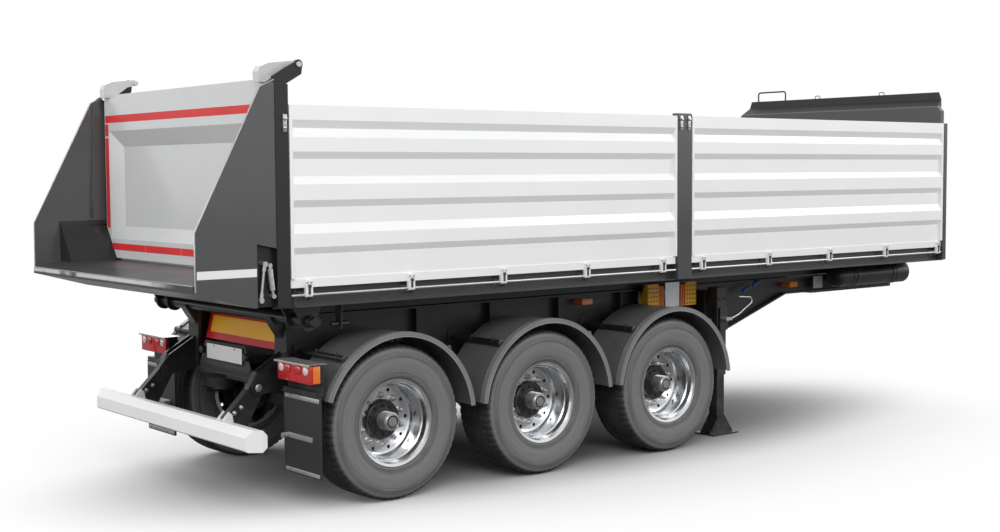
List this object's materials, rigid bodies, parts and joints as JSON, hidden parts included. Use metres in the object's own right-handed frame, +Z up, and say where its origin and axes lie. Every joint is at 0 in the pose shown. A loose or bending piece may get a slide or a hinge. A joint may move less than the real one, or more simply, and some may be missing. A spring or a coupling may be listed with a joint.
{
  "type": "tipper semi-trailer",
  "caption": "Tipper semi-trailer with air-sprung axles, fold-down dropsides, a top-hung tailgate, a rear chute and a telescopic tipping cylinder, parked on its landing legs.",
  "frame": {"origin": "on the ground, midway between the trailer's two ends and on its centre plane", "axes": "+X forward to the kingpin, +Y to the left, +Z up"},
  "size_m": [7.776, 2.55, 3.032],
  "materials": {
    "chassis_black": "satin black paint",
    "bed_white": "smooth white paint",
    "bed_grey": "dark grey paint",
    "gate_white": "white paint with red reflecting tape",
    "chute_paint": "grey paint with one white stripe",
    "zinc": "zinc-plated steel",
    "rod_steel": "ground steel",
    "rim_alloy": "polished forged alloy",
    "tyre": "black tread, grey sidewall",
    "guard_plastic": "moulded black",
    "flap_rubber": "moulded sheet",
    "bellows": "smooth bellows",
    "lamp_lens": "red, white and amber lenses in a dark housing",
    "marker_amber": "amber lens",
    "board_film": "amber reflecting film with a red border",
    "plate_blank": "blank white plate on a black panel",
    "chock_yellow": "moulded yellow",
    "axle_black": "matt black paint",
    "beam_grey": "light grey paint"
  },
  "bodies": {
    "chassis": {"main_beams": "chassis_black", "cross_members": "chassis_black", "cylinder_cradle": "chassis_black", "coupling_plate": "chassis_black", "rear_frame": "chassis_black", "trailing_arms": "axle_black", "air_springs": "bellows", "axles": "axle_black", "mudguards": "guard_plastic", "mudguard_stays": "chassis_black", "mudflaps": "flap_rubber", "tail_lamps": "lamp_lens", "marker_board": "board_film", "plate_panel": "plate_blank", "landing_legs": "chassis_black", "leg_crank": "zinc", "wheel_chocks": "chock_yellow", "chock_holder": "zinc", "air_tanks": "chassis_black", "side_markers": "marker_amber"},
    "bed": {"bed_floor": "bed_grey", "bed_bearers": "chassis_black", "bed_runners": "chassis_black", "tip_bearings": "zinc", "side_rails": "bed_grey", "hinge_rods": "zinc", "posts": "bed_grey", "front_wall": "bed_grey", "wall_hoops": "zinc", "chute_floor": "chute_paint", "chute_plates": "chute_paint", "gate_locks": "zinc"},
    "dropside_rear_left": {"dropside_rear_left": "bed_white"},
    "dropside_rear_right": {"dropside_rear_right": "bed_white"},
    "dropside_front_left": {"dropside_front_left": "bed_white"},
    "dropside_front_right": {"dropside_front_right": "bed_white"},
    "tailgate": {"tailgate": "gate_white"},
    "underrun": {"underrun_arms": "chassis_black", "underrun_beam": "beam_grey"},
    "cylinder_barrel": {"cylinder_barrel": "chassis_black"},
    "cylinder_stage_1": {"cylinder_stage_1": "rod_steel"},
    "cylinder_stage_2": {"cylinder_stage_2": "rod_steel"},
    "cylinder_stage_3": {"cylinder_stage_3": "rod_steel"},
    "cylinder_stage_4": {"cylinder_stage_4": "rod_steel"},
    "wheel_1_left": {"tyre_1_left": "tyre", "rim_1_left": "rim_alloy"},
    "wheel_1_right": {"tyre_1_right": "tyre", "rim_1_right": "rim_alloy"},
    "wheel_2_left": {"tyre_2_left": "tyre", "rim_2_left": "rim_alloy"},
    "wheel_2_right": {"tyre_2_right": "tyre", "rim_2_right": "rim_alloy"},
    "wheel_3_left": {"tyre_3_left": "tyre", "rim_3_left": "rim_alloy"},
    "wheel_3_right": {"tyre_3_right": "tyre", "rim_3_right": "rim_alloy"}
  },
  "joints": [
    {"name": "bed_tilt", "type": "hinge", "parent": "chassis", "child": "bed", "pos_m": [-2.964, 0, 1.25], "axis": [0, -1, 0], "range_deg": [0, 45]},
    {"name": "cylinder_lean", "type": "hinge", "parent": "chassis", "child": "cylinder_barrel", "pos_m": [0.786, 0, 0.88], "axis": [0, -1, 0], "range_deg": [0, 20.32]},
    {"name": "stage_1_slide", "type": "slide", "parent": "cylinder_barrel", "child": "cylinder_stage_1", "axis": [0, 0, 1], "range_m": [0, 0.7108]},
    {"name": "stage_2_slide", "type": "slide", "parent": "cylinder_stage_1", "child": "cylinder_stage_2", "axis": [0, 0, 1], "range_m": [0, 0.7108]},
    {"name": "stage_3_slide", "type": "slide", "parent": "cylinder_stage_2", "child": "cylinder_stage_3", "axis": [0, 0, 1], "range_m": [0, 0.7108]},
    {"name": "stage_4_slide", "type": "slide", "parent": "cylinder_stage_3", "child": "cylinder_stage_4", "axis": [0, 0, 1], "range_m": [0, 0.7108]},
    {"name": "dropside_rear_left_hinge", "type": "hinge", "parent": "bed", "child": "dropside_rear_left", "pos_m": [-1.364, 1.259, 1.442], "axis": [-1, 0, 0], "range_deg": [0, 170]},
    {"name": "dropside_rear_right_hinge", "type": "hinge", "parent": "bed", "child": "dropside_rear_right", "pos_m": [-1.364, -1.259, 1.442], "axis": [1, 0, 0], "range_deg": [0, 170]},
    {"name": "dropside_front_left_hinge", "type": "hinge", "parent": "bed", "child": "dropside_front_left", "pos_m": [2.036, 1.259, 1.442], "axis": [-1, 0, 0], "range_deg": [0, 170]},
    {"name": "dropside_front_right_hinge", "type": "hinge", "parent": "bed", "child": "dropside_front_right", "pos_m": [2.036, -1.259, 1.442], "axis": [1, 0, 0], "range_deg": [0, 170]},
    {"name": "tailgate_swing", "type": "hinge", "parent": "bed", "child": "tailgate", "pos_m": [-3.13, 0, 2.889], "axis": [0, 1, 0], "range_deg": [0, 80]},
    {"name": "underrun_fold", "type": "hinge", "parent": "chassis", "child": "underrun", "pos_m": [-3.154, 0, 0.793], "axis": [0, 1, 0], "range_deg": [0, 40]},
    {"name": "wheel_1_left_spin", "type": "hinge", "parent": "chassis", "child": "wheel_1_left", "pos_m": [-2.364, 1, 0.53], "axis": [0, 1, 0], "continuous": true},
    {"name": "wheel_1_right_spin", "type": "hinge", "parent": "chassis", "child": "wheel_1_right", "pos_m": [-2.364, -1, 0.53], "axis": [0, 1, 0], "continuous": true},
    {"name": "wheel_2_left_spin", "type": "hinge", "parent": "chassis", "child": "wheel_2_left", "pos_m": [-1.054, 1, 0.53], "axis": [0, 1, 0], "continuous": true},
    {"name": "wheel_2_right_spin", "type": "hinge", "parent": "chassis", "child": "wheel_2_right", "pos_m": [-1.054, -1, 0.53], "axis": [0, 1, 0], "continuous": true},
    {"name": "wheel_3_left_spin", "type": "hinge", "parent": "chassis", "child": "wheel_3_left", "pos_m": [0.256, 1, 0.53], "axis": [0, 1, 0], "continuous": true},
    {"name": "wheel_3_right_spin", "type": "hinge", "parent": "chassis", "child": "wheel_3_right", "pos_m": [0.256, -1, 0.53], "axis": [0, 1, 0], "continuous": true}
  ],
  "couplings": [
    {"joint": "cylinder_lean", "follows": "bed_tilt", "ratio": 0.45053},
    {"joint": "stage_1_slide", "follows": "bed_tilt", "m_per_rad": 0.90444},
    {"joint": "stage_2_slide", "follows": "bed_tilt", "m_per_rad": 0.90444},
    {"joint": "stage_3_slide", "follows": "bed_tilt", "m_per_rad": 0.90444},
    {"joint": "stage_4_slide", "follows": "bed_tilt", "m_per_rad": 0.90444}
  ]
}
